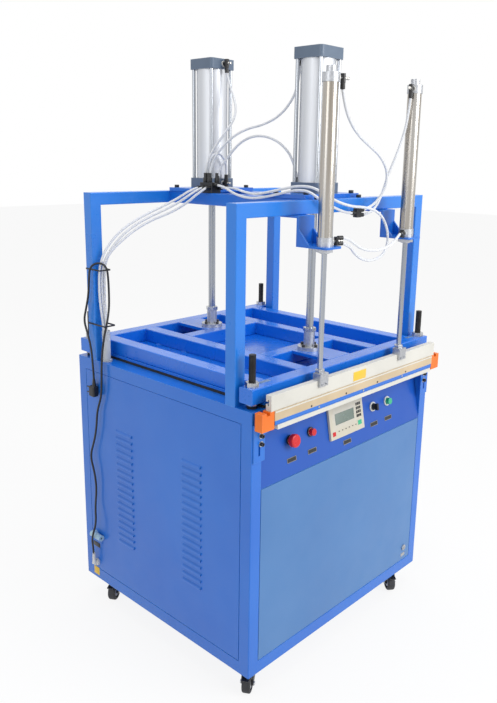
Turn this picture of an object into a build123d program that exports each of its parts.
from build123d import *
import math
import os

os.makedirs("parts", exist_ok=True)

# A compression packing machine on casters. A tube-framed cabinet carries two portals.
# Two large air cylinders press a framed plate down on the work table. Two small air
# cylinders close a heat-sealing jaw along the front edge.
# Millimetres. X runs along the front from left to right, Y to the back, Z up.
# The pieces are drawn about the middle of the cabinet on the floor, and are all moved at
# the end so that the origin lies under the middle of the rigid pieces.

# Cabinet
cabinet_width = 924.0
cabinet_depth = 834.0
cabinet_height = 840.0
caster_height = 85.0
tube = 40.0
sheet = 2.0
seam = 3.0
tube_corner = 3.0
lip_width = 14.0

# Sloped control panel at the top of the front
control_band_height = 237.0
control_slope_setback = tube - 4.0

# Louvres pressed in the side panels
louvre_count = 18
louvre_length = 84.0
louvre_height = 12.0
louvre_proud = 5.0
louvre_slit = 4.5
louvre_pitch = 23.8
louvre_column_offset = 168.0
louvre_first = 206.0

# Work table and mat
table_thickness = 4.0
mat_thickness = 8.0
mat_side_inset = 54.0
mat_end_inset = 5.0

# Portals, each an inverted U of square tube
portal_height = 557.0
portal_inset = 67.0

# Rails between the portal beams, which carry the press cylinders
rail_width = 50.0
rail_outer_face = 130.0
mount_plate_thickness = 12.0
mount_plate_depth = 150.0
mount_plate_overhang = 6.0

# Press cylinders
press_cylinder_offset = 234.0
press_bore = 100.0
press_wall = 3.0
press_cap = 112.0
press_cap_height = 33.0
press_cap_corner = 12.0
press_barrel_length = 363.0
press_rod_diameter = 25.0
press_nose_diameter = 50.0
press_nose_drop = 20.0
press_piston_height = 30.0
press_piston_rest = 6.0
tie_rod_diameter = 12.0
tie_rod_spacing = 89.0
tie_head_diameter = 16.0
tie_head_height = 7.0
tie_head_recess = 9.0

# Clearances of what slides in what, and of what rests on what
slide_clearance = 0.4
part_gap = 0.3
rest_gap = 0.5

# Press plate and the tube frame welded on it
plate_thickness = 8.0
plate_overhang = 5.0
frame_tube_width = 50.0
frame_tube_height = 45.0
end_rail_inset = 7.0
side_rail_inset = 60.0
inner_rail_outer = 212.0
cross_rail_outer = 210.0
centre_plate_width = 110.0
centre_plate_thickness = 10.0

# Rod sockets on the press frame
socket_flange = 76.0
socket_flange_height = 12.0
socket_diameter = 36.0
socket_height = 50.0
rod_nut_across = 38.0
rod_nut_height = 12.0

# Stop studs at the ends of the end rails
stud_diameter = 20.0
stud_inset = 25.0
stud_rise = 92.0
stud_nut_across = 34.0
stud_nut_height = 14.0
stud_foot_diameter = 30.0
stud_foot_height = 8.0

# Sealing cylinders
seal_cylinder_x = 209.0
seal_cylinder_reach = 29.0
seal_barrel_diameter = 43.0
seal_barrel_wall = 2.0
seal_cap_diameter = 47.0
seal_cap_height = 25.0
seal_barrel_length = 409.0
seal_foot_drop = 86.0
seal_nose_diameter = 28.0
seal_nose_height = 17.0
seal_nut_across = 41.0
seal_nut_height = 11.0
seal_rod_diameter = 16.0
seal_piston_height = 16.0
seal_piston_rest = 4.0
seal_nose_threads = 3.0

# Brackets that carry the sealing cylinders
bracket_width = 72.0
bracket_sheet = 6.0
bracket_web_gap = 28.0
bracket_nose = 36.0
bracket_corner = 10.0
gusset_height = 45.0
gusset_reach = 38.0
gusset_toe = 2.0

# Sealing jaws
jaw_end_inset = 34.0
jaw_reach = 39.0
jaw_depth = 20.0
jaw_height = 44.7
jaw_lift = 5.3
slot_throat_width = 8.0
slot_hollow_width = 18.0
slot_throat_depth = 6.0
slot_hollow_depth = 11.0
strip_end_inset = 48.0
strip_proud = 2.0
strip_depth = 24.0
strip_height = 29.0
base_end_inset = 50.0
base_height = 13.0
base_setback = 1.0
bar_end_inset = 58.0
bar_proud = 4.0
bar_depth = 17.0
bar_height = 13.0
end_block_inset = 47.0
end_block_overhang = 2.0
end_block_proud = 0.5
end_block_notch = 14.0
end_block_notch_depth = 9.0
end_block_depth = 27.0
end_block_height = 52.0
rod_block_width = 38.0
rod_block_height = 20.0
rod_block_skirt = 18.0
rod_block_cheek = 8.0

# Slotted brackets that hold the lower jaw
jaw_bracket_sheet = 5.0
jaw_bracket_width = 44.0
jaw_bracket_drop = 148.0
jaw_bracket_edge_inset = 4.0
jaw_bracket_arm_reach = 116.0
jaw_bracket_arm_drop = 34.0
jaw_bracket_arm_tip = 16.0
jaw_shelf_inset = 20.0
slot_length = 36.0
slot_width = 8.0
slot_drop = 113.0

# Controls on the sloped panel
control_row = 105.0
estop_inset = 182.0
red_button_inset = 278.0
selector_inset = 316.0
green_button_inset = 231.0
terminal_x = -8.0
terminal_width = 178.0
terminal_height = 108.0
terminal_proud = 9.0
screen_width = 100.0
screen_height = 42.0
screen_x = -22.0
screen_rise = 16.0
screen_depth = 1.2
key_pitch = 12.0
key_size = 8.5
key_proud = 1.0
key_column_x = 50.0
key_row_rise = 36.0
bezel_diameter = 29.0
bezel_proud = 4.0
button_diameter = 22.0
button_proud = 13.0
button_bore = 24.0
button_body = 20.0
knob_disc = 10.0
knob_grip = 10.0
knob_grip_width = 8.0
bezel_barrel = 26.0
estop_diameter = 40.0
estop_head = 15.0
estop_stand = 14.0

# Casters
caster_left_inset = 59.0
caster_right_inset = 97.0
caster_front_inset = 51.0
caster_back_inset = 95.0
caster_headings = {"front_left": 211.0, "front_right": 233.0, "back_left": 211.0, "back_right": 200.0}
wheel_diameter = 63.0
wheel_width = 27.0
hub_diameter = 18.0
hub_recess = 4.0
tyre_inner_diameter = 44.0
caster_trail = 24.0
caster_plate = 68.0
caster_plate_thickness = 4.0
fork_gap = 2.5
fork_sheet = 3.0
axle_diameter = 8.0
axle_clearance = 0.05
race_diameter = 40.0
race_height = 5.0
crown_diameter = 46.0
crown_height = 6.0
pedal_length = 48.0
pedal_width = 22.0
pedal_slope = 12.0

# Air fittings: a metal banjo in each cylinder port, and a plastic collar that grips the hose
port_depth = 5.0
press_port_stem = 13.0
press_banjo_reach = 16.0
press_banjo_diameter = 16.0
press_banjo_height = 28.0
seal_port_stem = 9.0
seal_banjo_reach = 17.0
seal_banjo_diameter = 14.0
seal_banjo_height = 24.0
seal_port_turn = 15.0
collar_diameter = 13.0
collar_length = 16.0
collar_seat = 2.0
lower_collar_drop = 7.0
upper_collar_rise = 8.0
tee_height = 28.0
tee_half_width = 12.0
tee_half_depth = 7.0
tee_spread = 15.0
manifold_width = 44.0
manifold_depth = 58.0
manifold_height = 34.0
manifold_front = 98.0
hose_diameter = 8.0

# Sleeve that leads the hoses out of the cabinet, and the ties that hold them to the post
sleeve_x = -440.0
sleeve_y = 281.0
sleeve_height = 106.0
sleeve_diameter = 27.0
sleeve_wall = 2.0
grommet_diameter = 36.0
grommet_height = 6.0
tie_band = 1.6
tie_band_width = 5.0
low_tie_height = 1048.0
low_tie_front = 256.0
high_tie_height = 1232.0
high_tie_front = 272.0

# Mains lead
cord_diameter = 7.0
gland_y = 350.0
gland_height = 152.0
gland_diameter = 24.0
gland_reach = 16.0
relief_length = 25.0
relief_wall = 1.0
relief_overlap = 2.0
gland_arm_gap = 2.0
plug_length = 38.0
plug_depth = 30.0
plug_thickness = 22.0
pin_diameter = 4.8
pin_length = 19.0
pin_spacing = 19.0

# Air inlet on the left side, and the door's lock
inlet_y = 352.0
inlet_height = 266.0
inlet_diameter = 22.0
inlet_length = 58.0
inlet_bore = 8.2
inlet_bore_depth = 18.0
lock_x = 379.0
lock_height = 178.0
lock_diameter = 22.0
lock_proud = 4.0
keyway_width = 2.0

# The arc at a point of a cord's route reaches this share of its shorter run
arc_share = 0.45

# Worked-out levels and faces
base_z = caster_height
top_z = caster_height + cabinet_height
half_width = cabinet_width / 2
half_depth = cabinet_depth / 2
portal_top = top_z + portal_height
beam_bottom = portal_top - tube
mat_top = top_z + mat_thickness
plate_bottom = mat_top + rest_gap
plate_top = plate_bottom + plate_thickness
frame_top = plate_top + frame_tube_height
cap_bottom = portal_top + mount_plate_thickness
barrel_bottom = cap_bottom + press_cap_height
barrel_top = barrel_bottom + press_barrel_length
control_low = top_z - control_band_height
mat_half_width = half_width - mat_side_inset
portal_outer_face = half_depth - portal_inset
end_rail_half_length = half_width - end_rail_inset
end_rail_outer = half_depth - end_rail_inset
side_rail_outer = half_width - side_rail_inset
seal_cylinder_y = -half_depth - seal_cylinder_reach
bracket_web_face = -portal_outer_face - bracket_web_gap
bracket_front = seal_cylinder_y - bracket_nose
jaw_half_length = half_width - jaw_end_inset
jaw_face = -half_depth - jaw_reach
strip_face = jaw_face - strip_proud
bar_face = jaw_face - bar_proud
estop_x = -half_width + estop_inset
red_button_x = -half_width + red_button_inset
selector_x = half_width - selector_inset
green_button_x = half_width - green_button_inset
control_high = top_z - tube - seam / 2


def block(x0, x1, y0, y1, z0, z1):
    """A box between two corners."""
    return Pos((x0 + x1) / 2, (y0 + y1) / 2, (z0 + z1) / 2) * Box(x1 - x0, y1 - y0, z1 - z0)


def rod(x, y, z0, z1, diameter):
    """An upright round bar."""
    return Pos(x, y, (z0 + z1) / 2) * Cylinder(diameter / 2, z1 - z0)


def hex_nut(x, y, z0, height, across):
    """An upright hexagon prism, measured across its flats."""
    outline = RegularPolygon(across / 2, 6, major_radius=False)
    return Pos(x, y, z0) * extrude(outline, height)


def round_tube(x, y, z0, z1, outer, wall):
    """An upright round tube."""
    return rod(x, y, z0, z1, outer) - rod(x, y, z0 - 1, z1 + 1, outer - 2 * wall)


def both(make):
    """The left and the right copy of a piece."""
    return [make(-1), make(1)]


def soften(solid, axis, radius):
    """Rounds the edges that run along one axis."""
    return fillet(solid.edges().filter_by(axis), radius)


def bar(x0, x1, y0, y1, z0, z1, axis, radius=tube_corner):
    """A tube's outer form, with its long edges rounded."""
    return soften(block(x0, x1, y0, y1, z0, z1), axis, radius)


def window_cuts(flat, reach, low, high):
    """What is cut from one side of the frame, leaving a lip that a flush panel rests on."""
    inner = reach - lip_width
    return [
        flat(-1, sheet, -reach, reach, low, high),
        flat(sheet - 1, 2 * sheet + 1, -inner, inner, low + lip_width, high - lip_width),
        flat(2 * sheet, tube + 1, -reach, reach, low, high),
    ]


def cabinet_frame():
    """A welded frame of square tubes along the edges of the cabinet, open on every side."""
    low, high = base_z + tube, top_z - tube
    reach_x, reach_y = half_width - tube, half_depth - tube
    frame = bar(-half_width, half_width, -half_depth, half_depth, base_z, top_z, Axis.Z)
    cuts = [
        block(-reach_x, reach_x, -reach_y, reach_y, base_z - 1, top_z + 1),
        block(-reach_x, reach_x, -half_depth - 1, -reach_y + 1, control_low - sheet, high),
    ]
    for side in (-1, 1):
        cuts += window_cuts(
            lambda d0, d1, a0, a1, z0, z1: block(
                *sorted((side * (half_width - d0), side * (half_width - d1))), a0, a1, z0, z1),
            reach_y, low, high)
        cuts += window_cuts(
            lambda d0, d1, a0, a1, z0, z1: block(
                a0, a1, *sorted((side * (half_depth - d0), side * (half_depth - d1))), z0, z1),
            reach_x, low, high if side > 0 else control_low - sheet)
    return frame.cut(*cuts)


def louvre_heights():
    return [base_z + louvre_first + louvre_pitch * step for step in range(louvre_count)]


def louvre_wedge(back, out, length):
    """A wedge with its open side down, from the sheet out to its lip."""
    profile = Polyline((back, louvre_height), (out, louvre_height * 0.45), (out, 0), (back, 0),
                       close=True)
    return extrude(Plane.XZ * make_face(profile), length / 2, both=True)


def side_panel(side):
    """A flush sheet with two columns of louvres pressed outwards."""
    face = side * half_width
    y_edge = half_depth - tube - seam
    low, high = base_z + tube + seam, top_z - tube - seam
    panel = block(*sorted((face, face - side * sheet)), -y_edge, y_edge, low, high)
    places = [(column * louvre_column_offset, height)
              for column in (-1, 1) for height in louvre_heights()]
    back = face - side * sheet / 2
    hood = louvre_wedge(back, face + side * louvre_proud, louvre_length)
    hollow = louvre_wedge(back - side * sheet, face + side * (louvre_proud - sheet),
                          louvre_length - 2 * sheet)
    panel = panel.fuse(*[Pos(0, y, z) * hood for y, z in places])
    return panel.cut(*[Pos(0, y, z - louvre_slit / 4) * hollow for y, z in places])


def plain_panel(face, side, low, high):
    """A flush sheet across the width of the cabinet."""
    x_edge = half_width - tube - seam
    return block(-x_edge, x_edge, *sorted((face, face - side * sheet)), low, high)


control_angle = math.degrees(math.atan2(control_slope_setback, control_high - control_low))
panel_frame = Plane(
    origin=(0, -half_depth, control_low),
    x_dir=(1, 0, 0),
    z_dir=(0, -math.cos(math.radians(control_angle)), math.sin(math.radians(control_angle))),
)


def on_panel(x, along, solid):
    """Places a piece drawn on the XY plane on the sloped panel."""
    return panel_frame * Pos(x, along, 0) * solid


def control_panel():
    """The sloped sheet that carries the controls."""
    slope = math.hypot(control_slope_setback, control_high - control_low)
    x_edge = half_width - tube
    panel = Pos(0, slope / 2, -sheet / 2) * Box(2 * x_edge, slope, sheet)
    for x in (red_button_x, selector_x, green_button_x, estop_x):
        panel -= Pos(x, control_row, 0) * Cylinder(button_bore / 2 + slide_clearance, 4 * sheet)
    return panel_frame * panel


def portal(face, side):
    """An inverted U of square tube, mitred at its corners."""
    ys = sorted((face, face - side * tube))
    outline = Polyline(
        (-half_width, top_z), (-half_width, portal_top), (half_width, portal_top),
        (half_width, top_z), (half_width - tube, top_z), (half_width - tube, beam_bottom),
        (-half_width + tube, beam_bottom), (-half_width + tube, top_z), close=True,
    )
    frame = extrude(Plane.XZ * make_face(outline), (ys[1] - ys[0]) / 2, both=True)
    frame = fillet(frame.edges().filter_by(Axis.Y, reverse=True).filter_by(
        lambda edge: edge.center().Z > top_z + 1), tube_corner)
    return Pos(0, (ys[0] + ys[1]) / 2, 0) * frame


def top_rail(side):
    inner = portal_outer_face - tube
    xs = sorted((side * rail_outer_face, side * (rail_outer_face - rail_width)))
    return bar(*xs, -inner, inner, beam_bottom, portal_top, Axis.Y)


def mount_plate(y):
    """The plate under one press cylinder, bored for its nose."""
    half = rail_outer_face + mount_plate_overhang
    plate = block(-half, half, y - mount_plate_depth / 2, y + mount_plate_depth / 2,
                  portal_top, cap_bottom)
    plate = soften(plate, Axis.Z, tube_corner)
    return plate - rod(0, y, portal_top - 1, cap_bottom + 1, press_nose_diameter + 2 * part_gap)


def press_cap_form(y, low):
    cap = block(-press_cap / 2, press_cap / 2, y - press_cap / 2, y + press_cap / 2,
                low, low + press_cap_height)
    return soften(cap, Axis.Z, press_cap_corner)


def tie_positions(y):
    half = tie_rod_spacing / 2
    return [(sx * half, y + sy * half) for sx in (-1, 1) for sy in (-1, 1)]


def bottom_cap(y):
    """Lower cylinder head with the rod's guide nose."""
    nose = rod(0, y, cap_bottom - press_nose_drop, cap_bottom, press_nose_diameter)
    cap = press_cap_form(y, cap_bottom) + nose
    cap -= rod(0, y, cap_bottom - press_nose_drop - 1, barrel_bottom + 1,
               press_rod_diameter + 2 * slide_clearance)
    for x, ty in tie_positions(y):
        cap -= rod(x, ty, cap_bottom - 1, barrel_bottom + 1, tie_rod_diameter)
    return cap - port_stem(press_port(y, press_low_port))


def top_cap(y):
    """Upper cylinder head, with a recess for the head of each tie rod."""
    top = barrel_top + press_cap_height
    cap = press_cap_form(y, barrel_top)
    for x, ty in tie_positions(y):
        cap -= rod(x, ty, barrel_top - 1, top + 1, tie_rod_diameter)
        cap -= rod(x, ty, top - tie_head_recess, top + 1, tie_head_diameter + 2 * part_gap)
    return cap - port_stem(press_port(y, press_high_port))


def press_barrel(y):
    return round_tube(0, y, barrel_bottom, barrel_top, press_bore + 2 * press_wall, press_wall)


def tie_rods(y):
    """Four long studs that clamp the barrel between its heads."""
    seat = barrel_top + press_cap_height - tie_head_recess
    return [rod(x, ty, cap_bottom, seat, tie_rod_diameter)
            + rod(x, ty, seat, seat + tie_head_height, tie_head_diameter)
            for x, ty in tie_positions(y)]


def press_rod(y):
    """Piston and rod in one, drawn with the press down."""
    foot = frame_top + socket_flange_height
    piston_low = barrel_bottom + press_piston_rest
    shaft = rod(0, y, foot, piston_low + 1, press_rod_diameter)
    return shaft + rod(0, y, piston_low, piston_low + press_piston_height,
                       press_bore - 2 * slide_clearance)


def rod_socket(y):
    """Flange and sleeve that join a press rod to the frame."""
    low = frame_top
    flange = Pos(0, y, low + socket_flange_height / 2) * Cylinder(
        socket_flange / 2, socket_flange_height)
    sleeve = rod(0, y, low + socket_flange_height, low + socket_flange_height + socket_height,
                 socket_diameter)
    return flange + sleeve - rod(0, y, low + socket_flange_height,
                                 low + socket_flange_height + socket_height + 1,
                                 press_rod_diameter)


def rod_nut(y):
    low = frame_top + socket_flange_height + socket_height
    nut = hex_nut(0, y, low, rod_nut_height, rod_nut_across)
    return nut - rod(0, y, low - 1, low + rod_nut_height + 1, press_rod_diameter)


def press_plate():
    half_x = side_rail_outer + plate_overhang
    half_y = end_rail_outer
    return block(-half_x, half_x, -half_y, half_y, plate_bottom, plate_top)


def press_frame():
    """Two end rails, four long rails and two cross rails, with a flat at each rod."""
    low, high = plate_top, frame_top
    inner_y = end_rail_outer - frame_tube_width
    inner_x = inner_rail_outer - frame_tube_width
    rails = []
    for side in (-1, 1):
        ys = sorted((side * end_rail_outer, side * inner_y))
        rails.append(bar(-end_rail_half_length, end_rail_half_length, *ys, low, high, Axis.X))
        for outer in (side_rail_outer, inner_rail_outer):
            xs = sorted((side * outer, side * (outer - frame_tube_width)))
            rails.append(bar(*xs, -inner_y, inner_y, low, high, Axis.Y))
        ys = sorted((side * cross_rail_outer, side * (cross_rail_outer - frame_tube_width)))
        rails.append(bar(-inner_x, inner_x, *ys, low, high, Axis.X))
        ys = sorted((side * cross_rail_outer, side * inner_y))
        rails.append(block(-centre_plate_width / 2, centre_plate_width / 2, *ys,
                           high - centre_plate_thickness, high))
    frame = rails[0].fuse(*rails[1:])
    holes = [rod(x, y, low - 1, high + 1, stud_diameter + 2 * part_gap) for x, y in stud_places()]
    return frame.cut(*holes)


def stud_places():
    y = end_rail_outer - frame_tube_width / 2
    x = end_rail_half_length - stud_inset
    return [(sx * x, sy * y) for sx in (-1, 1) for sy in (-1, 1)]


def stop_stud(x, y):
    """A threaded stud through the rail, with its foot below."""
    foot_low = top_z + part_gap
    foot_high = foot_low + stud_foot_height
    stud = rod(x, y, foot_high, frame_top + stud_rise, stud_diameter)
    return stud + rod(x, y, foot_low, foot_high, stud_foot_diameter)


def stud_nut(x, y):
    nut = hex_nut(x, y, frame_top, stud_nut_height, stud_nut_across)
    return nut - rod(x, y, frame_top - 1, frame_top + stud_nut_height + 1, stud_diameter)


seal_foot_top = beam_bottom - seal_foot_drop + bracket_sheet
seal_barrel_bottom = seal_foot_top + seal_cap_height
seal_barrel_top = seal_barrel_bottom + seal_barrel_length


def seal_bottom_cap(side):
    """Front head with the threaded nose that passes through the bracket."""
    x, y = side * seal_cylinder_x, seal_cylinder_y
    cap = rod(x, y, seal_foot_top, seal_barrel_bottom, seal_cap_diameter)
    nose_low = seal_foot_top - bracket_sheet - seal_nut_height - seal_nose_threads
    cap += rod(x, y, nose_low, seal_foot_top, seal_nose_diameter)
    cap -= rod(x, y, nose_low - 1, seal_barrel_bottom + 1, seal_rod_diameter + 2 * slide_clearance)
    return cap - port_stem(seal_port(side, seal_low_port))


def seal_top_cap(side):
    x, y = side * seal_cylinder_x, seal_cylinder_y
    cap = rod(x, y, seal_barrel_top, seal_barrel_top + seal_cap_height, seal_cap_diameter)
    nose_low = seal_barrel_top + seal_cap_height
    cap += rod(x, y, nose_low, nose_low + seal_nose_height, seal_nose_diameter)
    return cap - port_stem(seal_port(side, seal_high_port))


def seal_barrel(side):
    return round_tube(side * seal_cylinder_x, seal_cylinder_y, seal_barrel_bottom,
                      seal_barrel_top, seal_barrel_diameter, seal_barrel_wall)


def seal_nut(side):
    x, y = side * seal_cylinder_x, seal_cylinder_y
    low = seal_foot_top - bracket_sheet - seal_nut_height
    nut = hex_nut(x, y, low, seal_nut_height, seal_nut_across)
    return nut - rod(x, y, low - 1, low + seal_nut_height + 1, seal_nose_diameter)


def seal_bracket(side):
    """A Z-bent plate from the underside of the beam to the foot of the cylinder."""
    centre = side * seal_cylinder_x
    x0, x1 = centre - bracket_width / 2, centre + bracket_width / 2
    low = seal_foot_top - bracket_sheet
    foot = block(x0, x1, bracket_front, bracket_web_face, low, low + bracket_sheet)
    foot = fillet(foot.edges().filter_by(Axis.Z).group_by(Axis.Y)[0], bracket_corner)
    web = block(x0, x1, bracket_web_face, bracket_web_face + bracket_sheet, low, beam_bottom)
    flange = block(x0, x1, bracket_web_face, -portal_outer_face + tube,
                   beam_bottom - bracket_sheet, beam_bottom)
    bracket = foot + web + flange
    rib = Polyline((bracket_web_face + 1, low + bracket_sheet - 1),
                   (bracket_web_face - gusset_reach, low + bracket_sheet - 1),
                   (bracket_web_face - gusset_reach, low + bracket_sheet + gusset_toe),
                   (bracket_web_face + 1, low + bracket_sheet + gusset_height), close=True)
    rib = extrude(Plane.YZ * make_face(rib), bracket_sheet / 2, both=True)
    for edge in (x0 + bracket_sheet / 2, x1 - bracket_sheet / 2):
        bracket += Pos(edge, 0, 0) * rib
    return bracket - rod(centre, seal_cylinder_y, low - 1, low + bracket_sheet + 1,
                         seal_nose_diameter + 2 * part_gap)


upper_jaw_low = top_z + jaw_lift
upper_jaw_high = upper_jaw_low + jaw_height
strip_top = upper_jaw_low - part_gap
strip_low = strip_top - strip_height
base_low = strip_low - base_height
rod_block_top = upper_jaw_high + rod_block_height


def upper_jaw():
    """An aluminium bar with a T-slot along its back."""
    jaw = block(-jaw_half_length, jaw_half_length, jaw_face, jaw_face + jaw_depth,
                upper_jaw_low, upper_jaw_high)
    middle = (upper_jaw_low + upper_jaw_high) / 2
    back = jaw_face + jaw_depth
    throat = block(-jaw_half_length - 1, jaw_half_length + 1, back - slot_throat_depth - 1, back + 1,
                   middle - slot_throat_width / 2, middle + slot_throat_width / 2)
    hollow = block(-jaw_half_length - 1, jaw_half_length + 1, back - slot_hollow_depth,
                   back - slot_throat_depth, middle - slot_hollow_width / 2,
                   middle + slot_hollow_width / 2)
    return jaw - throat - hollow


def rod_block(side):
    """The saddle that joins a sealing rod to the upper jaw."""
    x0 = side * seal_cylinder_x - rod_block_width / 2
    x1 = x0 + rod_block_width
    top = block(x0, x1, jaw_face - rod_block_cheek, jaw_face + jaw_depth,
                upper_jaw_high, rod_block_top)
    cheek = block(x0, x1, jaw_face - rod_block_cheek, jaw_face,
                  upper_jaw_high - rod_block_skirt, upper_jaw_high + 1)
    return top + cheek


def jaw_rod(side):
    """Piston and rod of a sealing cylinder, drawn with the jaw closed."""
    x, y = side * seal_cylinder_x, seal_cylinder_y
    piston_low = seal_barrel_bottom + seal_piston_rest
    shaft = rod(x, y, rod_block_top, piston_low + 1, seal_rod_diameter)
    bore = seal_barrel_diameter - 2 * seal_barrel_wall
    return shaft + rod(x, y, piston_low, piston_low + seal_piston_height,
                       bore - 2 * slide_clearance)


def lower_strip():
    half = half_width - strip_end_inset
    return block(-half, half, strip_face, strip_face + strip_depth, strip_low, strip_top)


def lower_base():
    half = half_width - base_end_inset
    return block(-half, half, strip_face + base_setback, -half_depth - rest_gap, base_low, strip_low)


def lower_bar():
    half = half_width - bar_end_inset
    return block(-half, half, bar_face, bar_face + bar_depth, base_low - bar_height, base_low)


def end_block(side):
    inner, outer = half_width - end_block_inset, half_width + end_block_overhang
    face = jaw_face - end_block_proud
    solid = block(*sorted((side * inner, side * outer)), face, face + end_block_depth,
                  strip_top - end_block_height, strip_top)
    middle = side * (inner + outer) / 2
    notch = block(middle - end_block_notch / 2, middle + end_block_notch / 2, face - 1,
                  face + end_block_depth + 1, strip_top - end_block_notch_depth, strip_top + 1)
    return solid - notch


def jaw_bracket(side):
    """A slotted plate on the front post, with an arm and a shelf under the lower jaw."""
    face = -half_depth - jaw_bracket_sheet
    outer = side * (half_width - jaw_bracket_edge_inset)
    inner = outer - side * jaw_bracket_width
    low = top_z - jaw_bracket_drop
    outline = [
        (outer, low), (outer, base_low), (outer - side * jaw_bracket_arm_reach, base_low),
        (outer - side * jaw_bracket_arm_reach, base_low - jaw_bracket_arm_tip),
        (inner, base_low - jaw_bracket_arm_drop), (inner, low),
    ]
    plate = extrude(Plane.XZ * make_face(Polyline(*outline, close=True)), jaw_bracket_sheet / 2,
                    both=True)
    plate = Pos(0, face + jaw_bracket_sheet / 2, 0) * plate
    middle = (outer + inner) / 2
    slot = Pos(middle, face, top_z - slot_drop) * Rot(90, 0, 0) * extrude(
        SlotOverall(slot_length, slot_width, rotation=90), 2 * jaw_bracket_sheet, both=True)
    xs = sorted((outer - side * (jaw_bracket_width + jaw_shelf_inset),
                 outer - side * jaw_bracket_arm_reach))
    shelf = block(*xs, bar_face + bar_depth + 1, face + 1, base_low - jaw_bracket_sheet, base_low)
    return plate + shelf - slot


def caster_places():
    """Each caster's pivot and the way it trails, by name."""
    xs = {"left": -half_width + caster_left_inset, "right": half_width - caster_right_inset}
    ys = {"front": -half_depth + caster_front_inset, "back": half_depth - caster_back_inset}
    return {name: (xs[name.split("_")[1]], ys[name.split("_")[0]], heading)
            for name, heading in caster_headings.items()}


def caster_top(x, y, heading):
    """Bolted plate with the swivel's fixed race."""
    low = base_z - caster_plate_thickness
    half = caster_plate / 2
    plate = soften(block(x - half, x + half, y - half, y + half, low, base_z), Axis.Z, 2 * tube_corner)
    return plate + rod(x, y, low - race_height, low, race_diameter)


def on_caster(place, solid):
    """Turns a piece drawn on a caster that trails along +X, and puts it at its pivot."""
    x, y, heading = place
    return Pos(x, y, 0) * Rot(0, 0, heading) * solid


def caster_fork(place):
    """Swivel crown with two cheeks, the axle and the brake pedal over the wheel."""
    top = base_z - caster_plate_thickness - race_height - part_gap
    low = top - crown_height
    axle_z = wheel_diameter / 2
    inner = wheel_width / 2 + fork_gap
    half = crown_diameter / 2
    boss = axle_diameter / 2 + 2 * fork_sheet
    cheek = Polyline((-half, low), (-half, top), (half, top), (half, low),
                     (caster_trail + boss, axle_z), (caster_trail, axle_z - boss),
                     (caster_trail - boss, axle_z), close=True)
    leaf = extrude(Plane.XZ * make_face(cheek), fork_sheet / 2, both=True)
    fork = rod(0, 0, low, top, crown_diameter)
    fork += block(-half, half, -inner - fork_sheet, inner + fork_sheet, top - fork_sheet, top)
    for side in (-1, 1):
        fork += Pos(0, side * (inner + fork_sheet / 2), 0) * leaf
    fork += Pos(caster_trail, 0, axle_z) * Rot(90, 0, 0) * Cylinder(
        axle_diameter / 2, 2 * (inner + 2 * fork_sheet))
    pedal = Pos(half + pedal_length / 3, 0, low - 2 * fork_sheet / 3) * Rot(0, pedal_slope, 0) * Box(
        pedal_length, pedal_width, fork_sheet)
    return on_caster(place, fork + pedal)


def caster_wheel(place):
    """Solid tyre on a hub that stands out between two shallow recesses."""
    wheel = Cylinder(wheel_diameter / 2, wheel_width)
    wheel = fillet(wheel.edges(), wheel_width / 5)
    for side in (-1, 1):
        face = side * (wheel_width - hub_recess) / 2
        wheel -= Pos(0, 0, face) * (Cylinder(tyre_inner_diameter / 2, hub_recess + part_gap)
                                    - Cylinder(hub_diameter / 2, 2 * hub_recess))
    wheel -= Cylinder(axle_diameter / 2 + axle_clearance, 2 * wheel_width)
    return on_caster(place, Pos(caster_trail, 0, wheel_diameter / 2) * Rot(90, 0, 0) * wheel)


def button_bezel(x):
    """Round bezel with a bore that guides the button."""
    bezel = Pos(0, 0, bezel_proud / 2) * Cylinder(bezel_diameter / 2, bezel_proud)
    barrel = Pos(0, 0, -bezel_barrel / 2) * Cylinder(button_bore / 2, bezel_barrel)
    guide = Pos(0, 0, sheet) * Cylinder(button_diameter / 2 + slide_clearance, 2 * bezel_barrel - 2 * sheet)
    return on_panel(x, control_row, bezel + barrel - guide)


def push_button(x):
    """A round button that stands out of its bezel."""
    middle = bezel_proud + button_proud - button_body / 2
    button = Pos(0, 0, middle) * Cylinder(button_diameter / 2, button_body)
    return on_panel(x, control_row, chamfer(button.edges().sort_by(Axis.Z)[-1], slide_clearance))


def estop_button():
    """Mushroom head on a stem."""
    stem = Pos(0, 0, (estop_stand - button_body / 2) / 2) * Cylinder(
        button_diameter / 2, estop_stand + button_body / 2)
    head = Pos(0, 0, estop_stand + estop_head / 2) * Cylinder(estop_diameter / 2, estop_head)
    head = fillet(head.edges().sort_by(Axis.Z)[-1], estop_head / 3)
    return on_panel(estop_x, control_row, stem + head)


def selector_knob():
    """A disc with a grip across it."""
    low = bezel_proud + part_gap
    disc = Pos(0, 0, low + knob_disc / 2) * Cylinder(button_diameter / 2, knob_disc)
    grip = Pos(0, 0, low + knob_disc + knob_grip / 2) * Box(knob_grip_width, button_diameter, knob_grip)
    stem = Pos(0, 0, low - button_body / 4) * Cylinder(knob_grip_width, button_body / 2)
    return on_panel(selector_x, control_row, disc + grip + stem)


def operator_terminal():
    """A flat case with a sunk screen and twelve raised keys."""
    case = Box(terminal_width, terminal_height, terminal_proud)
    case = chamfer(case.faces().sort_by(Axis.Z)[-1].edges(), terminal_proud / 3)
    top = terminal_proud / 2
    case -= Pos(screen_x, screen_rise, top) * Box(screen_width, screen_height, 2 * screen_depth)
    keys = [Pos(key_column_x + key_pitch * column, key_row_rise - key_pitch * row, top)
            * Box(key_size, key_size, 2 * key_proud) for column in range(3) for row in range(4)]
    return on_panel(terminal_x, control_row, Pos(0, 0, top) * case.fuse(*keys))


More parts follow.
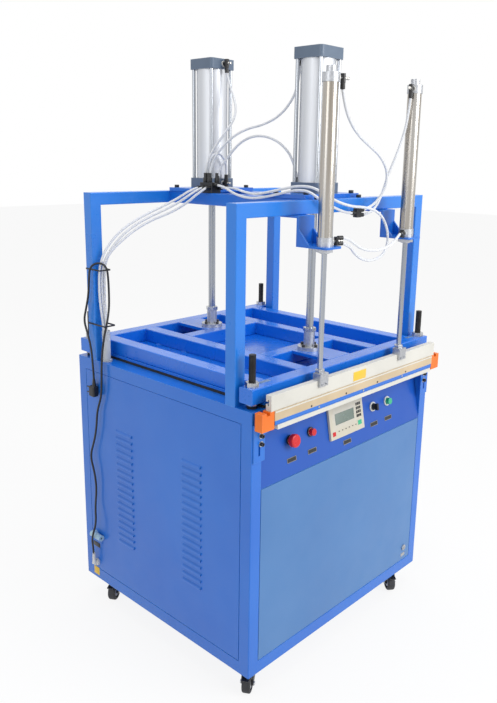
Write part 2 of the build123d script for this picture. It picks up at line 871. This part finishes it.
def press_port(y, height):
    """Where a press cylinder's port faces the other cylinder, and which way it looks."""
    side = 1 if y > 0 else -1
    return Plane(origin=(0, y - side * press_cap / 2, height), x_dir=(1, 0, 0), z_dir=(0, -side, 0))


def seal_port(side, height):
    """Where a sealing cylinder's port faces the middle, turned a little to the front."""
    turn = math.radians(seal_port_turn)
    out = (-side * math.cos(turn), -math.sin(turn), 0)
    reach = seal_cap_diameter / 2
    return Plane(origin=(side * seal_cylinder_x + out[0] * reach, seal_cylinder_y + out[1] * reach, height),
                 x_dir=(-out[1], out[0], 0), z_dir=out)


def is_press(port):
    return abs(port.origin.X) < 1


def port_stem(port, reach=0.0):
    """The threaded end of a fitting, from the bottom of its port outwards."""
    diameter = press_port_stem if is_press(port) else seal_port_stem
    length = port_depth + reach
    return port * Pos(0, 0, reach - length / 2) * Cylinder(diameter / 2, length)


def banjo(port):
    """Metal body of a fitting: a stem into the port and an upright barrel."""
    reach = press_banjo_reach if is_press(port) else seal_banjo_reach
    diameter = press_banjo_diameter if is_press(port) else seal_banjo_diameter
    height = press_banjo_height if is_press(port) else seal_banjo_height
    centre = port.origin + port.z_dir * reach
    barrel = rod(centre.X, centre.Y, centre.Z - height / 2, centre.Z + height / 2, diameter)
    return port_stem(port, reach) + barrel


def upright_collar(port, side):
    """Hose collar above or below a fitting's barrel."""
    reach = press_banjo_reach if is_press(port) else seal_banjo_reach
    height = press_banjo_height if is_press(port) else seal_banjo_height
    centre = port.origin + port.z_dir * reach
    z0, z1 = sorted((centre.Z + side * height / 2, centre.Z + side * (height / 2 + collar_length)))
    return rod(centre.X, centre.Y, z0, z1, collar_diameter)


def level_collar(port, rise):
    """Hose collar that carries on outwards from a fitting's barrel."""
    start = seal_banjo_reach + seal_banjo_diameter / 2 - collar_seat
    along = Plane(origin=port.origin + Vector(0, 0, rise), x_dir=port.x_dir, z_dir=port.z_dir)
    collar = along * Pos(0, 0, start + collar_length / 2) * Cylinder(
        collar_diameter / 2, collar_length)
    return collar - banjo(port)


def level_bar(x, y, z, axis_turn, length):
    """A round bar that lies along X, or along Y where it is turned."""
    return Pos(x, y, z) * Rot(0, 0, axis_turn) * Rot(0, 90, 0) * Cylinder(collar_diameter / 2, length)


def manifold():
    """Distributor on the left rail, with three collars in and six out."""
    x1 = -rail_outer_face + manifold_width
    back = manifold_front + manifold_depth
    top = portal_top + manifold_height
    x0 = -rail_outer_face + part_gap
    form = soften(block(x0, x1, manifold_front, back, portal_top, top), Axis.Z, tube_corner)
    level = portal_top + manifold_height / 2
    for _, y, _ in [route[-1] for route in supply_routes]:
        form += level_bar(x0 - collar_length / 2, y, level, 0, collar_length)
    for x, y, _ in [route[0] for route in press_routes]:
        form += rod(x, y, top, top + collar_length, collar_diameter)
    for x, _, z in [route[0] for route in seal_routes[:2]]:
        form += level_bar(x, manifold_front - collar_length / 2, z, 90, collar_length)
    return form


def hose_tee():
    """Y-piece in front of the beam: one hose in, two out, one above the other."""
    x, y, z = tee_place
    form = block(x - tee_half_width, x + tee_half_width, y - tee_half_depth, y + tee_half_depth,
                 z - tee_height / 2, z + tee_height / 2)
    form = soften(form, Axis.Y, tube_corner)
    form += level_bar(x - tee_half_width - collar_length / 2, y, z, 0, collar_length)
    for rise in (-tee_spread / 2, tee_spread / 2):
        form += level_bar(x + tee_half_width + collar_length / 2, y, z + rise, 0, collar_length)
    return form


def hose_sleeve():
    """Clear sleeve on a grommet."""
    sleeve = round_tube(sleeve_x, sleeve_y, top_z, top_z + sleeve_height, sleeve_diameter,
                        sleeve_wall)
    ring = round_tube(sleeve_x, sleeve_y, top_z, top_z + grommet_height, grommet_diameter,
                      (grommet_diameter - sleeve_diameter) / 2 + sleeve_wall / 2)
    return sleeve + ring


def post_tie(low, front):
    """A band round the back left post and what runs up in front of it."""
    outer = block(-half_width - tie_band, -half_width + tube + tie_band, front - tie_band,
                  portal_outer_face + tie_band, low, low + tie_band_width)
    inner = block(-half_width, -half_width + tube, front, portal_outer_face, low - 1,
                  low + tie_band_width + 1)
    return soften(outer, Axis.Z, tube_corner) - inner


def cord_tube(name, points, diameter):
    """Straight runs joined by arcs that are as large as the runs allow."""
    runs = [math.dist(a, b) for a, b in zip(points, points[1:])]
    steps = [Vector(*b) - Vector(*a) for a, b in zip(points, points[1:])]
    turns = [a.get_angle(b) for a, b in zip(steps, steps[1:])]
    radii = [arc_share * min(pair) / math.tan(math.radians(turn) / 2)
             for pair, turn in zip(zip(runs, runs[1:]), turns)]
    path = FilletPolyline(*points, radius=radii)
    start = Plane(origin=points[0], z_dir=steps[0])
    solid = sweep(start * Circle(diameter / 2), path=path)
    filled = solid.volume / (math.pi * diameter ** 2 / 4 * path.length)
    print(name, "length", round(path.length), "smallest radius", round(min(radii), 1),
          "of diameters", round(min(radii) / diameter, 1), "longest run", round(max(runs)),
          "largest turn", round(max(turns)), "volume share", round(filled, 4))
    return solid


def power_gland():
    """Elbow gland: a nut on the panel and a tapered relief that points up."""
    face = -half_width
    nut = Pos(face - gland_reach / 4, gland_y, gland_height) * Rot(0, 90, 0) * extrude(
        RegularPolygon(gland_diameter / 2, 6, major_radius=False), gland_reach / 4, both=True)
    arm = Pos(face - gland_reach / 2 - gland_arm_gap, gland_y, gland_height) * Rot(0, 90, 0) * Cylinder(
        gland_diameter / 3, gland_reach - 2 * gland_arm_gap)
    relief = Pos(face - gland_reach, gland_y, gland_height + relief_length / 2) * Cone(
        gland_diameter / 3, cord_diameter / 2 + relief_wall, relief_length)
    return nut + arm + relief


def power_plug():
    """Angled plug with two round pins that point to the back."""
    x, y, z = lead_route[-1]
    relief = Pos(x, y, z - relief_length / 2) * Cone(
        plug_thickness / 3, cord_diameter / 2 + relief_wall, relief_length)
    body = Box(plug_thickness, plug_depth, plug_length)
    body = fillet(body.edges(), plug_thickness / 4)
    low = z - relief_length - plug_length / 2 + relief_overlap
    form = Pos(x, y + plug_depth / 6, low) * body + relief
    for rise in (-pin_spacing / 2, pin_spacing / 2):
        form += Pos(x, y + plug_depth * 2 / 3 + pin_length / 2, low + rise) * Rot(90, 0, 0) * Cylinder(
            pin_diameter / 2, pin_length + relief_overlap)
    return form


def air_inlet():
    """Quick coupling that lies along the panel, open at its front end."""
    face = -half_width
    nut = Pos(face - inlet_diameter / 4, inlet_y, inlet_height) * Rot(0, 90, 0) * extrude(
        RegularPolygon(inlet_diameter / 2, 6, major_radius=False), inlet_diameter / 4, both=True)
    x = face - inlet_diameter / 2 - part_gap
    body = Pos(x, inlet_y - inlet_length / 2 + inlet_diameter / 2, inlet_height) * Rot(90, 0, 0) * Cylinder(
        inlet_diameter / 2, inlet_length)
    mouth = inlet_y - inlet_length + inlet_diameter / 2
    bore = Pos(x, mouth + inlet_bore_depth / 2, inlet_height) * Rot(90, 0, 0) * Cylinder(
        inlet_bore / 2, inlet_bore_depth)
    return nut + body - bore


def door_lock():
    """Round lock with a slot for its key."""
    face = -half_depth
    body = Pos(lock_x, face - lock_proud / 2, lock_height) * Rot(90, 0, 0) * Cylinder(
        lock_diameter / 2, lock_proud)
    return body - Pos(lock_x, face - lock_proud, lock_height) * Box(
        keyway_width, lock_proud, lock_diameter / 2)


# Routes of the hoses and of the mains lead
supply_routes = [
    [(-444.6, 283.6, 925), (-444.6, 283.6, 1023), (-448, 298, 1121), (-448.5, 299, 1186), (-445, 297, 1250),
     (-425, 288, 1303), (-384, 272, 1354), (-333, 256, 1390), (-277, 240, 1417), (-226, 222, 1440),
     (-192, 188, 1466), (-174, 156, 1490), (-145.7, 146, 1499)],
    [(-435.4, 283.6, 925), (-435.4, 283.6, 1024), (-437, 299, 1123), (-438, 300, 1185), (-434, 296, 1245),
     (-415, 285, 1292), (-378, 268, 1342), (-330, 252, 1378), (-275, 236, 1405), (-225, 208, 1430),
     (-193, 168, 1460), (-173, 136, 1487), (-145.7, 127, 1499)],
    [(-440, 275.8, 925), (-440, 275.8, 1024), (-429, 298, 1122), (-428, 299, 1186), (-427, 296, 1240),
     (-417, 287, 1284), (-374, 265, 1330), (-327, 248, 1366), (-273, 232, 1393), (-224, 198, 1416),
     (-193, 154, 1447), (-172, 119, 1482), (-145.7, 108, 1499)],
]
press_routes = [
    [(-112, 146, 1532), (-108, 146, 1576), (-92, 133, 1622), (-66, 112, 1668), (-34, 98, 1712),
     (-10, 104, 1752), (2, 128, 1795), (4, 152, 1835), (0, 162, 1876)],
    [(-112, 127, 1532), (-110, 121, 1576), (-95, 98, 1620), (-76, 62, 1662), (-56, 12, 1690),
     (-36, -44, 1702), (-18, -96, 1728), (-4, -134, 1772), (0, -156, 1822), (0, -162, 1876)],
    [(-95, 108, 1532), (-90, 98, 1567), (-74, 72, 1606), (-58, 38, 1648), (-44, -14, 1670),
     (-28, -70, 1664), (-12, -116, 1636), (-3, -148, 1592), (0, -162, 1541)],
    [(-95, 146, 1532), (-96, 148, 1553), (-95, 151, 1575), (-82, 155, 1597), (-60, 159, 1610),
     (-35, 161, 1611), (-13, 162, 1598), (-1, 162, 1576), (1, 161, 1558), (0, 162, 1541)],
]
seal_routes = [
    [(-116, 82, 1508), (-120, 50, 1505), (-133, 6, 1492), (-145, -50, 1479), (-147, -112, 1475),
     (-146, -172, 1484), (-147, -230, 1497), (-150, -286, 1508), (-151, -336, 1507), (-142, -371, 1484),
     (-104, -384, 1464), (-62, -386, 1451), (-31, -385, 1443), (-3, -385, 1441)],
    [(-97, 82, 1499), (-101, 46, 1501), (-116, -4, 1500), (-134, -56, 1493), (-143, -114, 1488),
     (-146, -172, 1497), (-147, -230, 1509), (-141, -286, 1520), (-136, -340, 1518), (-124, -380, 1496),
     (-88, -400, 1475), (-40, -412, 1463), (10, -420, 1460), (62, -424, 1450), (106, -425, 1426),
     (134, -426, 1385), (137, -428, 1345), (112, -431, 1312), (64, -436, 1300), (8, -442, 1301),
     (-42, -450, 1314), (-84, -457, 1334), (-120, -469, 1357), (-149.6, -461.9, 1367.5)],
    [(53, -385, 1448.5), (80, -394, 1456), (106, -406, 1480), (121, -420, 1520), (108, -430, 1567),
     (58, -438, 1607), (-6, -444, 1634), (-72, -449, 1661), (-124, -454, 1696), (-158, -457, 1738),
     (-169.9, -456.5, 1780)],
    [(53, -385, 1433.5), (86, -388, 1437), (116, -392, 1458), (133, -399, 1496), (140, -409, 1545),
     (152, -425, 1600), (164, -440, 1659), (171, -451, 1719), (169.9, -456.5, 1780)],
    [(-149.6, -461.9, 1382.5), (-130, -467, 1380), (-100, -470, 1362), (-62, -470, 1345), (-20, -468, 1337),
     (28, -467, 1334), (76, -467, 1340), (112, -466, 1353), (134, -466, 1369), (149.6, -461.9, 1374.5)],
]
lead_route = [
    (-478, 350, 177), (-481, 349, 216), (-494, 335, 266), (-485, 317, 324), (-478, 329, 385),
    (-476, 319, 455), (-478, 324, 516), (-480, 345, 575), (-477, 320, 636), (-478, 302, 692),
    (-477, 296, 752), (-476, 270, 808), (-477, 263, 865), (-476, 262, 915), (-471, 262, 967),
    (-462, 261, 1018), (-447, 262, 1064), (-432, 270, 1110), (-426, 277, 1158), (-427, 277, 1205),
    (-430, 278, 1240), (-443.4, 287.3, 1257), (-462.3, 300.4, 1255.5), (-476, 310, 1240), (-477, 314, 1200),
    (-476, 322, 1150), (-476, 338, 1104), (-478, 352, 1060), (-476, 336, 1018), (-475, 320, 972),
    (-476, 313, 922), (-477, 309, 886), (-477, 308, 862),
]
tee_place = (25.0, -385.0, 1441.0)
press_low_port = cap_bottom + press_cap_height / 2
press_high_port = barrel_top + press_cap_height / 2
seal_low_port = seal_foot_top + seal_cap_height / 2
seal_high_port = seal_barrel_top + seal_cap_height / 2

nodes = {}
nodes["cabinet_frame"] = cabinet_frame()
nodes["side_panels"] = both(side_panel)
panel_low, panel_high = base_z + tube + seam, top_z - tube - seam
nodes["back_panel"] = plain_panel(half_depth, 1, panel_low, panel_high)
nodes["front_panel"] = plain_panel(-half_depth, -1, panel_low, control_low - seam)
nodes["control_panel"] = control_panel()
nodes["floor_panel"] = block(-half_width + tube, half_width - tube, -half_depth + tube,
                             half_depth - tube, base_z, base_z + sheet)
nodes["work_table"] = block(-half_width + tube, half_width - tube, -half_depth + tube,
                            half_depth - tube, top_z - table_thickness, top_z)
nodes["table_mat"] = block(-mat_half_width, mat_half_width, -half_depth + mat_end_inset,
                           half_depth - mat_end_inset, top_z, mat_top)
nodes["front_portal"] = portal(-portal_outer_face, -1)
nodes["back_portal"] = portal(portal_outer_face, 1)
nodes["top_rails"] = both(top_rail)
cylinder_ys = (-press_cylinder_offset, press_cylinder_offset)
nodes["cylinder_mount_plates"] = [mount_plate(y) for y in cylinder_ys]
nodes["press_caps"] = [make(y) for y in cylinder_ys for make in (bottom_cap, top_cap)]
nodes["press_barrels"] = [press_barrel(y) for y in cylinder_ys]
nodes["press_tie_rods"] = [piece for y in cylinder_ys for piece in tie_rods(y)]
nodes["seal_brackets"] = both(seal_bracket)
nodes["seal_caps"] = both(seal_bottom_cap) + both(seal_top_cap) + both(seal_nut)
nodes["seal_barrels"] = both(seal_barrel)
nodes["lower_jaw_strip"] = lower_strip()
nodes["lower_jaw_base"] = lower_base()
nodes["lower_jaw_bar"] = lower_bar()
nodes["jaw_end_blocks"] = both(end_block)
nodes["jaw_brackets"] = both(jaw_bracket)
nodes["caster_plates"] = [caster_top(*place) for place in caster_places().values()]
nodes["operator_terminal"] = operator_terminal()
nodes["button_bezels"] = [button_bezel(x) for x in (red_button_x, selector_x, green_button_x, estop_x)]
nodes["press_plate"] = press_plate()
nodes["press_frame"] = press_frame()
nodes["press_rods"] = [press_rod(y) for y in cylinder_ys]
nodes["rod_sockets"] = [rod_socket(y) for y in cylinder_ys]
nodes["press_nuts"] = [rod_nut(y) for y in cylinder_ys] + [stud_nut(*place) for place in stud_places()]
nodes["stop_studs"] = [stop_stud(*place) for place in stud_places()]
nodes["upper_jaw"] = upper_jaw()
nodes["rod_blocks"] = both(rod_block)
nodes["jaw_rods"] = both(jaw_rod)
nodes["estop_button"] = estop_button()
nodes["red_button"] = push_button(red_button_x)
nodes["green_button"] = push_button(green_button_x)
nodes["selector_knob"] = selector_knob()
for name, place in caster_places().items():
    nodes[name + "_fork"] = caster_fork(place)
    nodes[name + "_wheel"] = caster_wheel(place)
press_ports = [press_port(y, height) for y in cylinder_ys for height in (press_low_port, press_high_port)]
seal_ports = [seal_port(side, height) for side in (-1, 1) for height in (seal_low_port, seal_high_port)]
nodes["flow_fittings"] = [banjo(port) for port in press_ports + seal_ports]
low_left, high_left, low_right, high_right = seal_ports
nodes["push_fittings"] = [
    *[upright_collar(port, side) for port, side in zip(press_ports, (1, -1, 1, -1))],
    upright_collar(high_left, -1), upright_collar(high_right, -1),
    level_collar(low_left, -lower_collar_drop), level_collar(low_left, upper_collar_rise),
    level_collar(low_right, 0.0),
    manifold(), hose_tee(),
]
nodes["hose_sleeve"] = hose_sleeve()
nodes["hose_ties"] = [post_tie(low_tie_height, low_tie_front), post_tie(high_tie_height, high_tie_front)]
nodes["air_inlet"] = air_inlet()
nodes["door_lock"] = door_lock()
nodes["cable_gland"] = power_gland()
nodes["power_plug"] = power_plug()
cords = {
    "supply_hoses": (supply_routes, hose_diameter),
    "press_hoses": (press_routes, hose_diameter),
    "seal_hoses": (seal_routes, hose_diameter),
    "power_cord": ([lead_route], cord_diameter),
}
for name, (routes, diameter) in cords.items():
    nodes[name] = [cord_tube(name, route, diameter) for route in routes]


def solids_of(item):
    """All solids of one node, as a flat list."""
    pieces = item if isinstance(item, list) else [item]
    return [solid for piece in pieces for solid in piece.solids()]


rigid = [solid for name, item in nodes.items() if name not in cords and name != "power_plug"
         for solid in solids_of(item)]
box = Compound(rigid).bounding_box()
centre = box.center()
shift = Pos(-centre.X, -centre.Y, -box.min.Z)
print("box", box.min, box.max, "moved by", -centre.X, -centre.Y, -box.min.Z)
for name, item in nodes.items():
    moved = [shift * solid for solid in solids_of(item)]
    export_step(moved[0] if len(moved) == 1 else Compound(moved), "parts/" + name + ".step")
print(len(nodes), "nodes")
